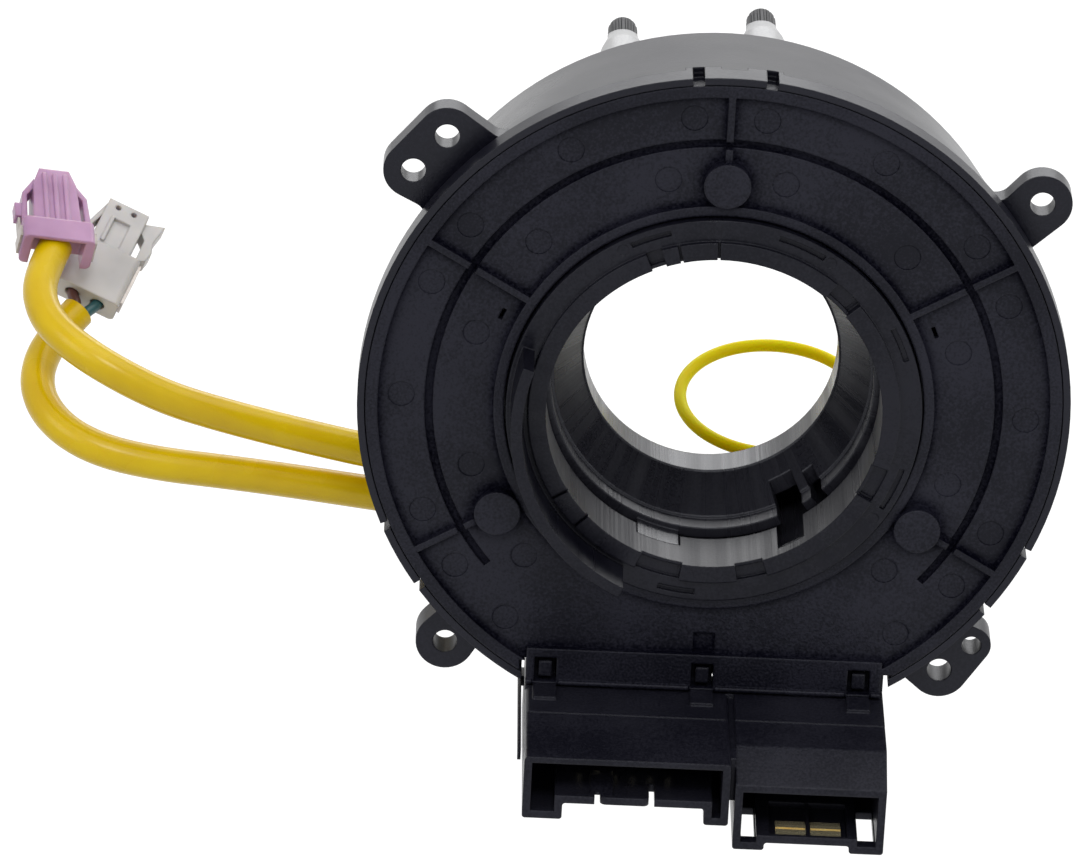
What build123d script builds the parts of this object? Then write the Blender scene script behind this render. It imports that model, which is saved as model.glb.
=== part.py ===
from build123d import *
import os
from math import cos, degrees, pi, radians, sin, tan

# The clock spring stands as it does on the steering column: X to the right, Z up,
# and Y along the shaft axis towards the steering wheel. Y = 0 is the case's back rim.
# Round pieces are drawn on a bench frame first: x right, y up, and z towards a viewer
# who looks at the back, so depths from the back rim are negative there.
STAND = Plane.XZ
LOW_END = (Align.CENTER, Align.CENTER, Align.MIN)
LOW_CORNER = (Align.MIN, Align.MIN, Align.MIN)

# Reach of a cutting tool past the face it enters, and overlap of solids that join
clear = 1.0
tiny = 0.1

# Case
case_radius = 51.8
case_band_length = 3.6
case_shoulder_step = 0.8
case_shoulder_radius = case_radius - case_shoulder_step
case_shoulder_drop = 0.6
case_taper = 4.8
case_front_radius = case_shoulder_radius - case_taper
case_length = 31.8
case_wall = 1.6
case_lip_thickness = 1.6
case_lip_width = 2.8
case_mouth_radius = case_front_radius - case_lip_width
seat_wall = 1.05
seat_radius = case_radius - seat_wall
seat_depth = 2.4
latch_notch_width = 1.7
latch_notch_length = 4.5
latch_notch_angles = [83.7, 95.5]
latch_collar_length = 4.6
latch_collars = [(81.9, 87.7), (91.8, 97.6)]
latch_notch_depth = 1.6
side_notch_depth = 1.3
side_notch_angle = 1.5
side_notch_angles = [204.0, 216.0, 324.0, 336.0]

# Ears: each is the hull of its lobes round the holes and of its roots on the wall
ear_reach = 4.2
ear_circle_radius = case_radius + ear_reach
ear_depth = 5.6
ear_thickness = 3.5
low_ear_thickness = 5.0
ear_root_inset = 2.0
ear_root_radius = case_shoulder_radius - ear_root_inset
ear_root_size = 1.0
ear_wall_overlap = 0.4
ear_fillet = 2.4
ear_hole = 3.6
ear_small_hole = 2.9
ear_lobe = 4.35
ear_small_lobe = 2.9
wide_ear_angles = [136.2, 143.6]
wide_ear_roots = [131.0, 146.2]
right_ear_angle = 35.1
right_ear_roots = [37.2, 30.0]
low_left_ear_angle = 228.2
low_left_ear_roots = [224.6, 230.6]
low_right_ear_angles = [309.8, 316.1]
low_right_ear_roots = [304.4, 315.4]

# Back cover
cover_gap = 0.15
cover_face_depth = 1.0
cover_thickness = 1.6
cover_rim_width = 1.8
cover_radius = seat_radius - cover_gap
cover_rim_inner_radius = cover_radius - cover_rim_width
rotor_hole_radius = 30.5
cover_lip_width = 1.5
cover_lip_outer_radius = rotor_hole_radius + cover_lip_width
groove_inset = 7.4
groove_radius = cover_rim_inner_radius - groove_inset
groove_width = 1.2
groove_depth = 0.8
groove_start_angle = -40.0
groove_end_angle = 220.0
cover_rib_width = 1.0
cover_rib_angles = [30.0, 90.0, 150.0, 210.0, 330.0]
boss_diameter = 6.8
boss_circle_radius = cover_lip_outer_radius + boss_diameter / 2
boss_height = 0.9
boss_angles = [90.0, 210.0, 330.0]
mark_diameter = 3.9
mark_depth = 0.12
outer_mark_radius = (groove_radius + groove_width / 2 + cover_rim_inner_radius) / 2
outer_mark_angles = [6.6, 29.9, 53.5, 66.8, 90.0, 113.8, 126.6, 140.8]
inner_mark_radius = (groove_radius - groove_width / 2 + cover_lip_outer_radius) / 2
inner_mark_angles = [13.4, 46.9, 73.7, 107.2, 133.5]
cover_slot_radius = 34.0
cover_slot_angles = [23.0, 157.0]
cover_slot_width = 0.6
cover_slot_length = 1.8

# Latch panel on the cover, above the connector block
block_left = -25.3
block_right = 27.5
block_inset = 6.05
block_top = block_inset - case_radius
panel_height = 6.15
panel_top = block_top + panel_height
panel_side_gap = 0.5
panel_overlap = 2.0
cover_seat_gap = 0.05
panel_lip_height = 0.35
panel_lip_width = 0.7
panel_lip_radius = 0.25
panel_seam = 0.4
panel_window_width = 3.3
panel_window_inset = 1.4
panel_window_top = panel_top - panel_window_inset
panel_window_height = 4.0
panel_window_bottom = panel_window_top - panel_window_height
hook_centres = [-22.45, 0.65, 23.7]
hook_width = 1.9
hook_length = 2.4
hook_recess = 0.35
hook_setback = 0.8
hook_root = 0.6
hook_arm_thickness = 1.55
hook_arm_root = 4.05
panel_tab_drop = 0.3
panel_tabs = [(-12.6, -6.8), (13.7, 19.4)]
panel_pocket_width = 3.2
panel_pocket_height = 3.2
panel_pocket_depth = 0.6

# Connector housing: the sockets open towards the back
block_height = 23.2
block_base_depth = 13.5
block_base_height = 10.25
block_base_bottom = block_top - block_base_height
block_gap = 0.3
case_cut_gap = 0.6
socket_wall = 1.15
wide_socket_right = 4.7
wide_socket_height = 7.35
wide_socket_bottom = block_top - wide_socket_height
wide_lobe_height = 2.6
wide_lobe_bottom = wide_socket_bottom - wide_lobe_height
wide_lobe_left_width = 5.8
wide_lobe_right_width = 3.6
wide_socket_floor = 4.0
socket_seam = 0.8
socket_web_depth = 3.2
socket_web_drop = 0.6
narrow_socket_height = 12.45
narrow_socket_bottom = block_top - narrow_socket_height
narrow_lobe_height = 1.2
narrow_lobe_bottom = narrow_socket_bottom - narrow_lobe_height
narrow_lobe_left_width = 4.6
narrow_lobe_right_width = 5.0
narrow_socket_floor = 5.0
narrow_slope_start = 16.0
narrow_slope_drop = 3.35
narrow_slope_top = block_top - narrow_slope_drop
top_step_height = 8.5
top_step_drop = 0.15
tongue_slot_width = 0.8
tongue_slot_centres = [-14.45, -6.55]
tongue_slot_length = 4.8
tongue_ramp_width = 3.3
tongue_ramp_length = 6.5
tongue_ramp_rise = 5.0
tongue_ramp_height = 0.7
tongue_ramp_setback = 0.8
latch_block_length = 4.5
latch_block_height = 0.5
latch_block_width = 3.4
lobe_window_low = 12.0
lobe_window_high = 21.2
lobe_window_margin = 0.15
corner_radius = 0.9
side_rail_thickness = 0.5
side_rail_stand = 0.4
side_rail_width = 1.6
side_rail_drop = 3.6
side_rail_height = 14.0
side_rail_foot = 3.0

# Contacts
pin_size = 0.64
pin_pitch = 2.6
pin_row_pitch = 2.5
pins_per_row = 6
pin_tip_height = 14.0
pin_row_drop = 2.45
pin_row_top = block_top - pin_row_drop
pin_first_x = -17.0
pin_root = 1.5
tray_left = 10.9
tray_right = 22.2
tray_low = 12.0
tray_setback = 0.7
tray_high = block_height - tray_setback
tray_floor_thickness = 0.4
tray_rib_width = 0.5
tray_rib_height = 1.1
contact_length = 4.4
contact_gap = 0.7
contact_strip_thickness = 0.25
contact_stand = 0.2
contact_thickness = 0.5
contact_width = 0.9
contact_pitch = 1.5
contact_height = 19.2
contact_tail = 2.0

# Rotor: lid, drum, pocket, funnel and collar, as radii and depths from the back rim
lid_overlap = 2.0
lid_radius = case_mouth_radius + lid_overlap
lid_gap = 0.3
lid_thickness = 1.5
drum_step = 1.1
drum_radius = rotor_hole_radius - drum_step
drum_wall = 1.6
drum_start = 5.0
pocket_radius = 22.8
pocket_wall = 1.4
pocket_floor_depth = 25.0
funnel_back_radius = 23.2
funnel_front_radius = 19.0
funnel_start = 13.2
funnel_end = 20.0
funnel_wall = 1.6
funnel_rim_start = 10.0
funnel_rim_step = 0.4
funnel_rim_wall = 1.6
collar_radius = 18.8
collar_wall = 1.6
collar_end = 25.8

# Cancelling cam ring
ring_gap = 0.3
ring_outer = rotor_hole_radius - ring_gap
ring_face_stand = 1.0
band_outer_radius = 27.0
band_stand = 0.8
ring_bore_radius = 24.4
ring_tube_wall = 1.6
ring_tube_end = 8.0
thrust_reach = 1.1
thrust_radius = rotor_hole_radius + thrust_reach
thrust_start = 2.9
thrust_end = 4.2
cam_inner_radius = 27.8
cam_width = 1.7
cam_height = 8.8
cam_start_angle = 162.0
cam_end_angle = 244.6
arc_slot_radius = 28.9
arc_slot_width = 0.8
arc_slot_depth = 0.6
arc_slots = [(105.4, 117.4), (59.7, 74.1), (18.9, 29.8), (330.6, 344.4), (256.6, 267.5)]
ring_mark_diameter = 1.7
ring_mark_radius = 28.8
ring_mark_angles = [57.5, 120.0, 326.7]
band_notches = [(247.7, 262.1), (280.3, 289.9), (331.3, 343.4), (42.0, 52.0), (109.3, 114.4)]
band_notch_depth = 1.4
band_notch_lip = 0.6
band_lip_drop = 0.8
band_nicks = [91.5, 103.9, 212.3, 224.0]
band_nick_width = 0.4
band_nick_depth = 0.7
tube_hook = (245.9, 261.7)
tube_hook_start = 4.8
tube_hook_thickness = 1.2
tube_hook_gap = 0.1
tube_hook_turn = 0.4
tube_window = (295.8, 305.8)
tube_window_start = 0.5
funnel_notches = [(297.0, 307.0, 20.9), (311.0, 315.8, 21.7)]

# Ribbon cable
ribbon_thickness = 0.3
ribbon_clearance = 3.6
ribbon_inner_radius = drum_radius + ribbon_clearance
ribbon_pitch = 1.0
ribbon_turns = 5
ribbon_start_depth = 8.0
ribbon_end_depth = 26.0
clamp_width = 7.0
clamp_gap = 0.3
clamp_seat = 0.02

# Guide posts
post_inset = 3.4
post_circle_radius = lid_radius - post_inset
post_angles = {"left": 110.7, "right": 82.4}
post_tip_depth = 50.1
post_base_radius = 3.4
post_neck_step = 0.05
post_neck_length = 6.2
post_cone_length = 5.7
tip_radius = 2.2
tip_slant = 54.0
tip_slant_setback = 4.0
tip_slant_depth = post_tip_depth - tip_slant_setback
tip_flutes = 14
tip_flute_radius = 0.26

# Front of the rotor: lead hood and switch socket
hood_left = -29.0
hood_right = -13.0
hood_top = -24.6
hood_bottom = -38.6
hood_height = 8.2
hood_corner_radius = 1.6
hood_inset = 0.4
lead_mouth_clearance = 0.25
wheel_socket_inset = 8.0
socket_centre = (0.0, post_circle_radius - wheel_socket_inset)
wheel_socket_width = 17.0
wheel_socket_depth = 8.4
wheel_socket_height = 12.0
wheel_socket_floor = 2.0
wheel_pins_per_row = 5
pin_recess = 5.0

# Lock pin with its pull ring
lock_pin_radius = 2.0
lock_mouth_clearance = 0.4
lock_circle_radius = case_mouth_radius - lock_pin_radius - lock_mouth_clearance
lock_hole_gap = 0.05
lock_arm_width = 5.0
lock_arm_thickness = 3.0
lock_arm_inner_radius = 24.8
lock_tip_gap = 0.3
lock_socket_length = 3.0
lock_socket_setback = 0.6
lock_socket_wall = 1.6
lock_socket_gap = 0.1
lock_socket_spread = 5.0
lock_angle = -65.1
pull_ring_place = (10.95, -20.3)
pull_ring_drop = 16.6
pull_ring_normal = (0.0, 0.979, 0.203)
pull_ring_radius = 14.0
pull_ring_strand = 0.95

# Leads, as points in the standing frame
lead_diameter = 5.2
upper_lead_route = [
    (-24.0, 37.8, -28.4),
    (-34.0, 37.8, -28.4),
    (-48.0, 37.2, -26.2),
    (-61.5, 36.0, -22.9),
    (-72.0, 34.4, -19.7),
    (-80.5, 33.6, -16.9),
    (-88.4, 33.8, -13.1),
    (-94.6, 36.5, -10.3),
    (-98.4, 40.4, -8.4),
    (-100.2, 44.9, -6.5),
    (-100.1, 49.8, -4.6),
    (-98.4, 56.0, -2.7),
]
lower_lead_route = [
    (-24.0, 37.8, -34.9),
    (-34.0, 37.8, -34.9),
    (-48.0, 37.4, -33.0),
    (-61.5, 36.3, -30.9),
    (-72.0, 34.9, -29.2),
    (-80.5, 33.8, -28.0),
    (-88.3, 33.6, -26.5),
    (-93.7, 35.0, -24.9),
    (-97.6, 37.8, -23.0),
    (-99.9, 41.8, -20.9),
    (-100.2, 46.2, -18.5),
    (-98.4, 51.5, -16.0),
    (-94.8, 56.0, -13.4),
]
bend_share = 0.45
wire_diameter = 1.7
wire_length = 2.8
wire_insert = 1.8
wire_straight = 0.2
wire_lead_out = 1.0
wire_spread = (1.05, 2.1)

# Airbag plugs: x across the flat side, z from the lead towards the nose
pink_axis = (-0.11, 0.94, 0.33)
pink_across = (0.975, 0.17, -0.15)
pink_flange = (11.0, 5.6, 4.4)
pink_lead_insert = 2.0
pink_lead_offset = 0.65
pink_nose_length = 12.0
pink_nose_thickness = 3.8
pink_nose_outline = [(3.7, 0.0), (3.3, 8.8), (2.3, 12.0)]
pink_rib_width = 0.7
pink_rib_height = 0.4
pink_rib_pitch = 1.6
pink_rib_margin = 1.2
pink_strap_thickness = 2.2
pink_strap = [(3.0, 10.4), (5.0, 7.0), (5.45, -0.5), (4.5, -0.5), (4.3, 6.6), (3.0, 8.6)]
pink_lug = (1.1, 2.8, 1.8)
pink_lug_start = 1.9
pink_lug_inset = 0.3
pink_clip_start = 0.8
pink_clip_length = 2.2
pink_clip_reach = 1.6
pink_recess_width = 8.0
pink_recess_floor = 1.1
sleeve_gap = 0.3
white_axis = (0.32, 0.82, 0.46)
white_across = (0.919, -0.156, -0.361)
white_body = (10.4, 4.5, 9.2)
white_nose = (6.6, 4.0, 8.2)
white_recess = (2.6, 0.6, 4.8)
white_recess_start = 0.4
white_rib = (0.6, 0.35)
white_strap = [(-3.2, 8.0), (-4.8, 2.8), (-4.9, -0.1), (-4.2, -0.1), (-4.1, 2.7), (-3.2, 5.6)]
white_lug = [(3.2, 6.9), (6.2, 8.0), (5.6, 4.3), (6.1, 2.6), (5.8, 0.8), (4.3, -0.1), (4.2, 4.2), (3.2, 5.3)]
white_strap_thickness = 2.8
probe_hole = 0.9
probe_hole_places = [-1.5, 1.1]
probe_hole_setback = 1.0
clip_thickness = 0.4
clip_tongue_width = 1.4
clip_margin = 1.2
clip_tongue_length = 1.3


def polar(radius, angle, height=0.0):
    """Place at a radius and an angle round the shaft axis."""
    return Pos(radius * cos(radians(angle)), radius * sin(radians(angle)), height)


def turned(points, start=0.0, end=360.0):
    """Solid of revolution about the shaft axis from (radius, height) points."""
    face = make_face(Plane.XZ * Polyline(*points, close=True))
    return Rot(0, 0, start) * revolve(face, Axis.Z, revolution_arc=end - start)


def sector(inner, outer, low, high, start=0.0, end=360.0):
    """Ring or part of a ring between two radii and two heights."""
    return turned([(inner, low), (outer, low), (outer, high), (inner, high)], start, end)


def block(left, right, bottom, top, low, high):
    """Box from its limits in x, y and z."""
    box = Box(right - left, top - bottom, high - low, align=LOW_CORNER)
    return Pos(left, bottom, low) * box


def wall_radius(depth):
    """Outer radius of the tapered wall at a depth."""
    shoulder_depth = case_band_length + case_shoulder_drop
    taper = (case_shoulder_radius - case_front_radius) / (case_length - shoulder_depth)
    return case_shoulder_radius - taper * (depth - shoulder_depth)


# Outer case
shoulder_depth = case_band_length + case_shoulder_drop
lip_depth = case_length - case_lip_thickness
case_profile = [
    (case_radius, 0),
    (case_radius, -case_band_length),
    (case_shoulder_radius, -shoulder_depth),
    (case_front_radius, -case_length),
    (case_mouth_radius, -case_length),
    (case_mouth_radius, -lip_depth),
    (wall_radius(lip_depth) - case_wall, -lip_depth),
    (case_shoulder_radius - case_wall, -shoulder_depth),
    (case_shoulder_radius - case_wall, -seat_depth),
    (seat_radius, -seat_depth),
    (seat_radius, 0),
]


def ear(holes, roots, thickness):
    """Flat ear round (angle, lobe radius, hole diameter) holes, blended into the wall."""
    base_radius = wall_radius(ear_depth + thickness) - ear_wall_overlap / 2
    circles = [polar(ear_circle_radius, angle) * Circle(lobe) for angle, lobe, hole in holes]
    circles += [polar(ear_root_radius, angle) * Circle(ear_root_size) for angle in roots]
    outline = make_hull([circle.edge() for circle in circles]) + Circle(base_radius)
    on_base = [v for v in outline.vertices() if abs(v.center().length - base_radius) < tiny]
    corners = [v for v in on_base if abs(v.center().Y) > tiny]
    outline = fillet(corners, ear_fillet)
    outline -= Circle(base_radius - ear_wall_overlap)
    for angle, lobe, hole in holes:
        outline -= polar(ear_circle_radius, angle) * Circle(hole / 2)
    return Pos(0, 0, -ear_depth - thickness) * extrude(outline, thickness)


outer_case = turned(case_profile)
for start, end in latch_collars:
    outer_case += sector(seat_radius, case_radius, -latch_collar_length, 0, start, end)
wide_ear_holes = [(angle, ear_lobe, ear_hole) for angle in wide_ear_angles]
low_right_holes = [
    (low_right_ear_angles[0], ear_lobe, ear_hole),
    (low_right_ear_angles[1], ear_small_lobe, ear_small_hole),
]
outer_case += ear(wide_ear_holes, wide_ear_roots, ear_thickness)
outer_case += ear([(right_ear_angle, ear_lobe, ear_hole)], right_ear_roots, ear_thickness)
outer_case += ear([(low_left_ear_angle, ear_lobe, ear_hole)], low_left_ear_roots, low_ear_thickness)
outer_case += ear(low_right_holes, low_right_ear_roots, low_ear_thickness)

outer_case -= block(
    block_left - case_cut_gap,
    block_right + case_cut_gap,
    -case_radius - clear,
    panel_top - case_cut_gap,
    -block_base_depth - block_gap,
    clear,
)
latch_notch_turn = degrees(latch_notch_width / case_radius) / 2
for angle in latch_notch_angles:
    outer_case -= sector(
        case_radius - latch_notch_depth,
        case_radius + clear,
        -latch_notch_length,
        clear,
        angle - latch_notch_turn,
        angle + latch_notch_turn,
    )
for angle in side_notch_angles:
    outer_case -= sector(
        case_radius - side_notch_depth,
        case_radius + clear,
        -shoulder_depth,
        clear,
        angle - side_notch_angle / 2,
        angle + side_notch_angle / 2,
    )

# Locking socket inside the case wall, under the lid
lock_socket_top = lip_depth - lock_socket_setback
lock_socket_back = lock_socket_top - lock_socket_length
lock_socket_inner = lock_circle_radius - lock_pin_radius - lock_socket_wall
lock_socket = turned(
    [
        (lock_socket_inner, -lock_socket_top),
        (wall_radius(lock_socket_top) - case_wall / 2, -lock_socket_top),
        (wall_radius(lock_socket_back) - case_wall / 2, -lock_socket_back),
        (lock_socket_inner, -lock_socket_back),
    ],
    lock_angle - lock_socket_spread,
    lock_angle + lock_socket_spread,
)
lock_socket -= polar(lock_circle_radius, lock_angle, -lock_socket_top) * Cylinder(
    lock_pin_radius + lock_socket_gap, case_length
)
outer_case += lock_socket

# Back cover with the latch panel
cover_under = cover_face_depth + cover_thickness
cover_inner_radius = case_shoulder_radius - case_wall - cover_gap
back_cover = turned(
    [
        (rotor_hole_radius, 0),
        (cover_lip_outer_radius, 0),
        (cover_lip_outer_radius, -cover_face_depth),
        (cover_rim_inner_radius, -cover_face_depth),
        (cover_rim_inner_radius, 0),
        (cover_radius, 0),
        (cover_radius, -seat_depth),
        (cover_inner_radius, -seat_depth),
        (cover_inner_radius, -cover_under),
        (rotor_hole_radius, -cover_under),
    ]
)
back_cover -= block(
    block_left - clear,
    block_right + clear,
    -case_radius,
    panel_top - panel_overlap,
    -case_band_length - clear,
    clear,
)
panel_right = block_right - panel_side_gap
panel_bottom = block_top + panel_seam
back_cover += block(block_left, panel_right, panel_bottom, panel_top, -cover_under, 0)
lip_high = panel_bottom + panel_lip_width
panel_lip = block(block_left, panel_right, panel_bottom, lip_high, -panel_lip_height, panel_lip_height)
panel_lip = fillet(panel_lip.faces().sort_by(Axis.Z)[-1].edges().filter_by(Axis.X), panel_lip_radius)
for centre in hook_centres:
    gap_left = centre - latch_block_width / 2 - block_gap
    gap_right = centre + latch_block_width / 2 + block_gap
    panel_lip -= block(gap_left, gap_right, panel_bottom - clear, panel_top, 0, clear)
back_cover += panel_lip
for left, right in panel_tabs:
    back_cover += block(left, right, panel_bottom - panel_tab_drop, panel_bottom + clear, -cover_under, 0)
for angle in cover_rib_angles:
    rib = block(
        cover_lip_outer_radius - cover_lip_width / 2,
        cover_rim_inner_radius + cover_rim_width / 2,
        -cover_rib_width / 2,
        cover_rib_width / 2,
        -cover_face_depth,
        0,
    )
    back_cover += Rot(0, 0, angle) * rib
back_cover -= sector(
    groove_radius - groove_width / 2,
    groove_radius + groove_width / 2,
    -cover_face_depth - groove_depth,
    clear,
    groove_start_angle,
    groove_end_angle,
)
for angle in boss_angles:
    boss = Cylinder(boss_diameter / 2, cover_face_depth + boss_height, align=LOW_END)
    back_cover += polar(boss_circle_radius, angle, -cover_face_depth) * boss
marks = [(outer_mark_radius, 90 + turn * side) for turn in outer_mark_angles for side in (-1, 1)]
marks += [(inner_mark_radius, 90 + turn * side) for turn in inner_mark_angles for side in (-1, 1)]
for radius, angle in marks:
    back_cover -= polar(radius, angle, -cover_face_depth) * Cylinder(mark_diameter / 2, 2 * mark_depth)
for centre in hook_centres:
    back_cover -= block(
        centre - panel_window_width / 2,
        centre + panel_window_width / 2,
        panel_window_bottom,
        panel_window_top,
        -cover_under - clear,
        clear,
    )
for angle in cover_slot_angles:
    slot = block(
        cover_slot_radius - cover_slot_width / 2,
        cover_slot_radius + cover_slot_width / 2,
        -cover_slot_length / 2,
        cover_slot_length / 2,
        -cover_under - clear,
        clear,
    )
    back_cover -= Rot(0, 0, angle) * slot
back_cover -= block(
    hook_centres[1] - panel_pocket_width / 2,
    hook_centres[1] + panel_pocket_width / 2,
    panel_top,
    panel_top + panel_pocket_height,
    -cover_face_depth - panel_pocket_depth,
    clear,
)

# Connector housing
wide_left = block_left
wide_right = wide_socket_right
narrow_left = wide_right + socket_seam
narrow_right = block_right
housing = block(wide_left, wide_right, wide_socket_bottom, block_top, 0, block_height)
housing += block(
    wide_left,
    wide_left + wide_lobe_left_width,
    wide_lobe_bottom,
    wide_socket_bottom,
    0,
    block_height,
)
housing += block(
    wide_right - wide_lobe_right_width,
    wide_right,
    wide_lobe_bottom,
    wide_socket_bottom,
    0,
    block_height,
)
housing += block(narrow_left, narrow_right, narrow_socket_bottom, block_top, 0, block_height)
housing += block(
    narrow_left,
    narrow_left + narrow_lobe_left_width,
    narrow_lobe_bottom,
    narrow_socket_bottom,
    0,
    block_height,
)
housing += block(
    narrow_right - narrow_lobe_right_width,
    narrow_right,
    narrow_lobe_bottom,
    narrow_socket_bottom,
    0,
    block_height,
)
housing += block(
    wide_right,
    narrow_left,
    wide_socket_bottom,
    block_top - socket_web_drop,
    0,
    block_height - socket_web_depth,
)
slope_profile = Polyline(
    (block_top + clear, narrow_slope_start),
    (block_top + clear, block_height + clear),
    (narrow_slope_top, block_height + clear),
    (narrow_slope_top, block_height),
    (block_top, narrow_slope_start),
    close=True,
)
slope_cut = extrude(make_face(Plane.YZ * slope_profile), narrow_right - narrow_left + clear)
housing -= Pos(narrow_left, 0, 0) * slope_cut
upright = [edge for edge in housing.edges().filter_by(Axis.Z) if edge.length > block_height - tiny]
housing = fillet([edge for edge in upright if edge.center().Y < wide_socket_bottom + tiny], corner_radius / 2)
upright = [edge for edge in housing.edges().filter_by(Axis.Z) if edge.length > block_height - tiny]
housing = fillet([edge for edge in upright if edge.center().Y > block_top - tiny], corner_radius)
housing -= block(
    wide_left - clear,
    narrow_right + clear,
    block_top - top_step_drop,
    block_top + clear,
    top_step_height,
    block_height + clear,
)

# Sockets
wide_bottom = wide_socket_bottom + socket_wall
narrow_bottom = narrow_socket_bottom + socket_wall
wide_top = block_top - socket_wall
narrow_top = narrow_slope_top - socket_wall
narrow_lobe_end = narrow_left + narrow_lobe_left_width
narrow_lobe_start = narrow_right - narrow_lobe_right_width
socket_rooms = [
    (wide_left, wide_right, wide_socket_bottom, wide_top, wide_socket_floor),
    (wide_left, wide_left + wide_lobe_left_width, wide_lobe_bottom, wide_bottom, wide_socket_floor),
    (wide_right - wide_lobe_right_width, wide_right, wide_lobe_bottom, wide_bottom, wide_socket_floor),
    (narrow_left, narrow_right, narrow_socket_bottom, narrow_top, narrow_socket_floor),
    (narrow_left, narrow_lobe_end, narrow_lobe_bottom, narrow_bottom, narrow_socket_floor),
    (narrow_lobe_start, narrow_right, narrow_lobe_bottom, narrow_bottom, narrow_socket_floor),
]
for left, right, bottom, top, floor in socket_rooms:
    housing -= block(
        left + socket_wall,
        right - socket_wall,
        bottom + socket_wall,
        top + tiny,
        floor,
        block_height + clear,
    )

# Tongue in the wide socket's lower wall, with its ramp inside
for centre in tongue_slot_centres:
    housing -= block(
        centre - tongue_slot_width / 2,
        centre + tongue_slot_width / 2,
        wide_socket_bottom - clear,
        wide_bottom + tiny,
        block_height - tongue_slot_length,
        block_height + clear,
    )
tongue_left = tongue_slot_centres[0] + tongue_slot_width / 2
tongue_right = tongue_slot_centres[1] - tongue_slot_width / 2
tongue_corners = [
    edge
    for edge in housing.edges().filter_by(Axis.Y)
    if tongue_left - tiny < edge.center().X < tongue_right + tiny
    and wide_socket_bottom < edge.center().Y < wide_bottom
    and edge.center().Z > block_height - tiny
]
housing = fillet(tongue_corners, corner_radius)
ramp_high = block_height - tongue_ramp_setback
ramp_profile = Polyline(
    (wide_bottom, ramp_high),
    (wide_bottom + tongue_ramp_height, ramp_high - tongue_ramp_rise),
    (wide_bottom + tongue_ramp_height, ramp_high - tongue_ramp_length),
    (wide_bottom, ramp_high - tongue_ramp_length),
    close=True,
)
ramp = extrude(make_face(Plane.YZ * ramp_profile), tongue_ramp_width)
housing += Pos((tongue_left + tongue_right - tongue_ramp_width) / 2, 0, 0) * ramp

# Windows in the narrow socket's lobes
lobe_inset = socket_wall + lobe_window_margin
for left, right in ((narrow_left, narrow_lobe_end), (narrow_lobe_start, narrow_right)):
    housing -= block(
        left + lobe_inset,
        right - lobe_inset,
        narrow_lobe_bottom - clear,
        narrow_socket_bottom,
        lobe_window_low,
        lobe_window_high,
    )

# Base that closes the gap in the case wall, latch hooks and side rail
base_top = -cover_under - cover_seat_gap
housing += block(wide_left, narrow_right, block_base_bottom, block_top, base_top, 0)
base_high = panel_top - panel_overlap
base = block(wide_left, narrow_right, block_base_bottom, base_high, -block_base_depth, base_top)
base -= Cylinder(case_shoulder_radius - case_wall + cover_gap, 2 * case_length)
housing += base
hook_top = panel_window_top - hook_setback
for centre in hook_centres:
    housing += block(
        centre - hook_width / 2 - hook_root,
        centre + hook_width / 2 + hook_root,
        block_top - hook_arm_root,
        hook_top,
        base_top - hook_arm_thickness,
        base_top,
    )
    housing += block(
        centre - hook_width / 2,
        centre + hook_width / 2,
        hook_top - hook_length,
        hook_top,
        base_top - tiny,
        -hook_recess,
    )
    housing += block(
        centre - latch_block_width / 2,
        centre + latch_block_width / 2,
        block_top - socket_wall / 2,
        block_top + latch_block_height,
        0,
        latch_block_length,
    )
rail_left = block_left - side_rail_stand - side_rail_thickness
rail_top = block_top - side_rail_drop
rail_foot = -block_base_depth + side_rail_foot
rail_right = block_left - side_rail_stand
for right, high in ((rail_right, side_rail_height), (block_left + socket_wall / 2, rail_foot)):
    housing += block(rail_left, right, rail_top - side_rail_width, rail_top, -block_base_depth, high)

# Contacts
pin_centres = [
    (pin_first_x + column * pin_pitch, pin_row_top - row * pin_row_pitch)
    for row in range(2)
    for column in range(pins_per_row)
]
pin_section = Sketch() + [Pos(x, y) * Rectangle(pin_size, pin_size) for x, y in pin_centres]
pin_bottom = base_top - pin_root
signal_pins = Pos(0, 0, pin_bottom) * extrude(pin_section, pin_tip_height - pin_bottom)
housing -= signal_pins

tray_floor = narrow_socket_bottom + tray_floor_thickness
tray_middle = (tray_left + tray_right) / 2
tray_cut_bottom = narrow_socket_bottom - clear
housing -= block(tray_left, tray_right, tray_cut_bottom, narrow_bottom + tiny, tray_low, tray_high)
contact_tray = block(tray_left, tray_right, narrow_socket_bottom, tray_floor, tray_low, tray_high)
contact_tray += block(
    tray_middle - tray_rib_width / 2,
    tray_middle + tray_rib_width / 2,
    narrow_socket_bottom,
    narrow_socket_bottom + tray_rib_height,
    tray_low,
    tray_high,
)
airbag_contacts = Part()
for left in (tray_middle - contact_gap / 2 - contact_length, tray_middle + contact_gap / 2):
    right = left + contact_length
    strip_low = contact_height - contact_tail
    strip_high = contact_height + contact_pitch + contact_width
    strip_face = tray_floor + contact_strip_thickness
    airbag_contacts += block(left, right, tray_floor, strip_face, strip_low, strip_high)
    for step in range(2):
        low = contact_height + step * contact_pitch
        bar_bottom = tray_floor + contact_stand
        bar_face = bar_bottom + contact_thickness
        airbag_contacts += block(left, right, bar_bottom, bar_face, low, low + contact_width)

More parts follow.
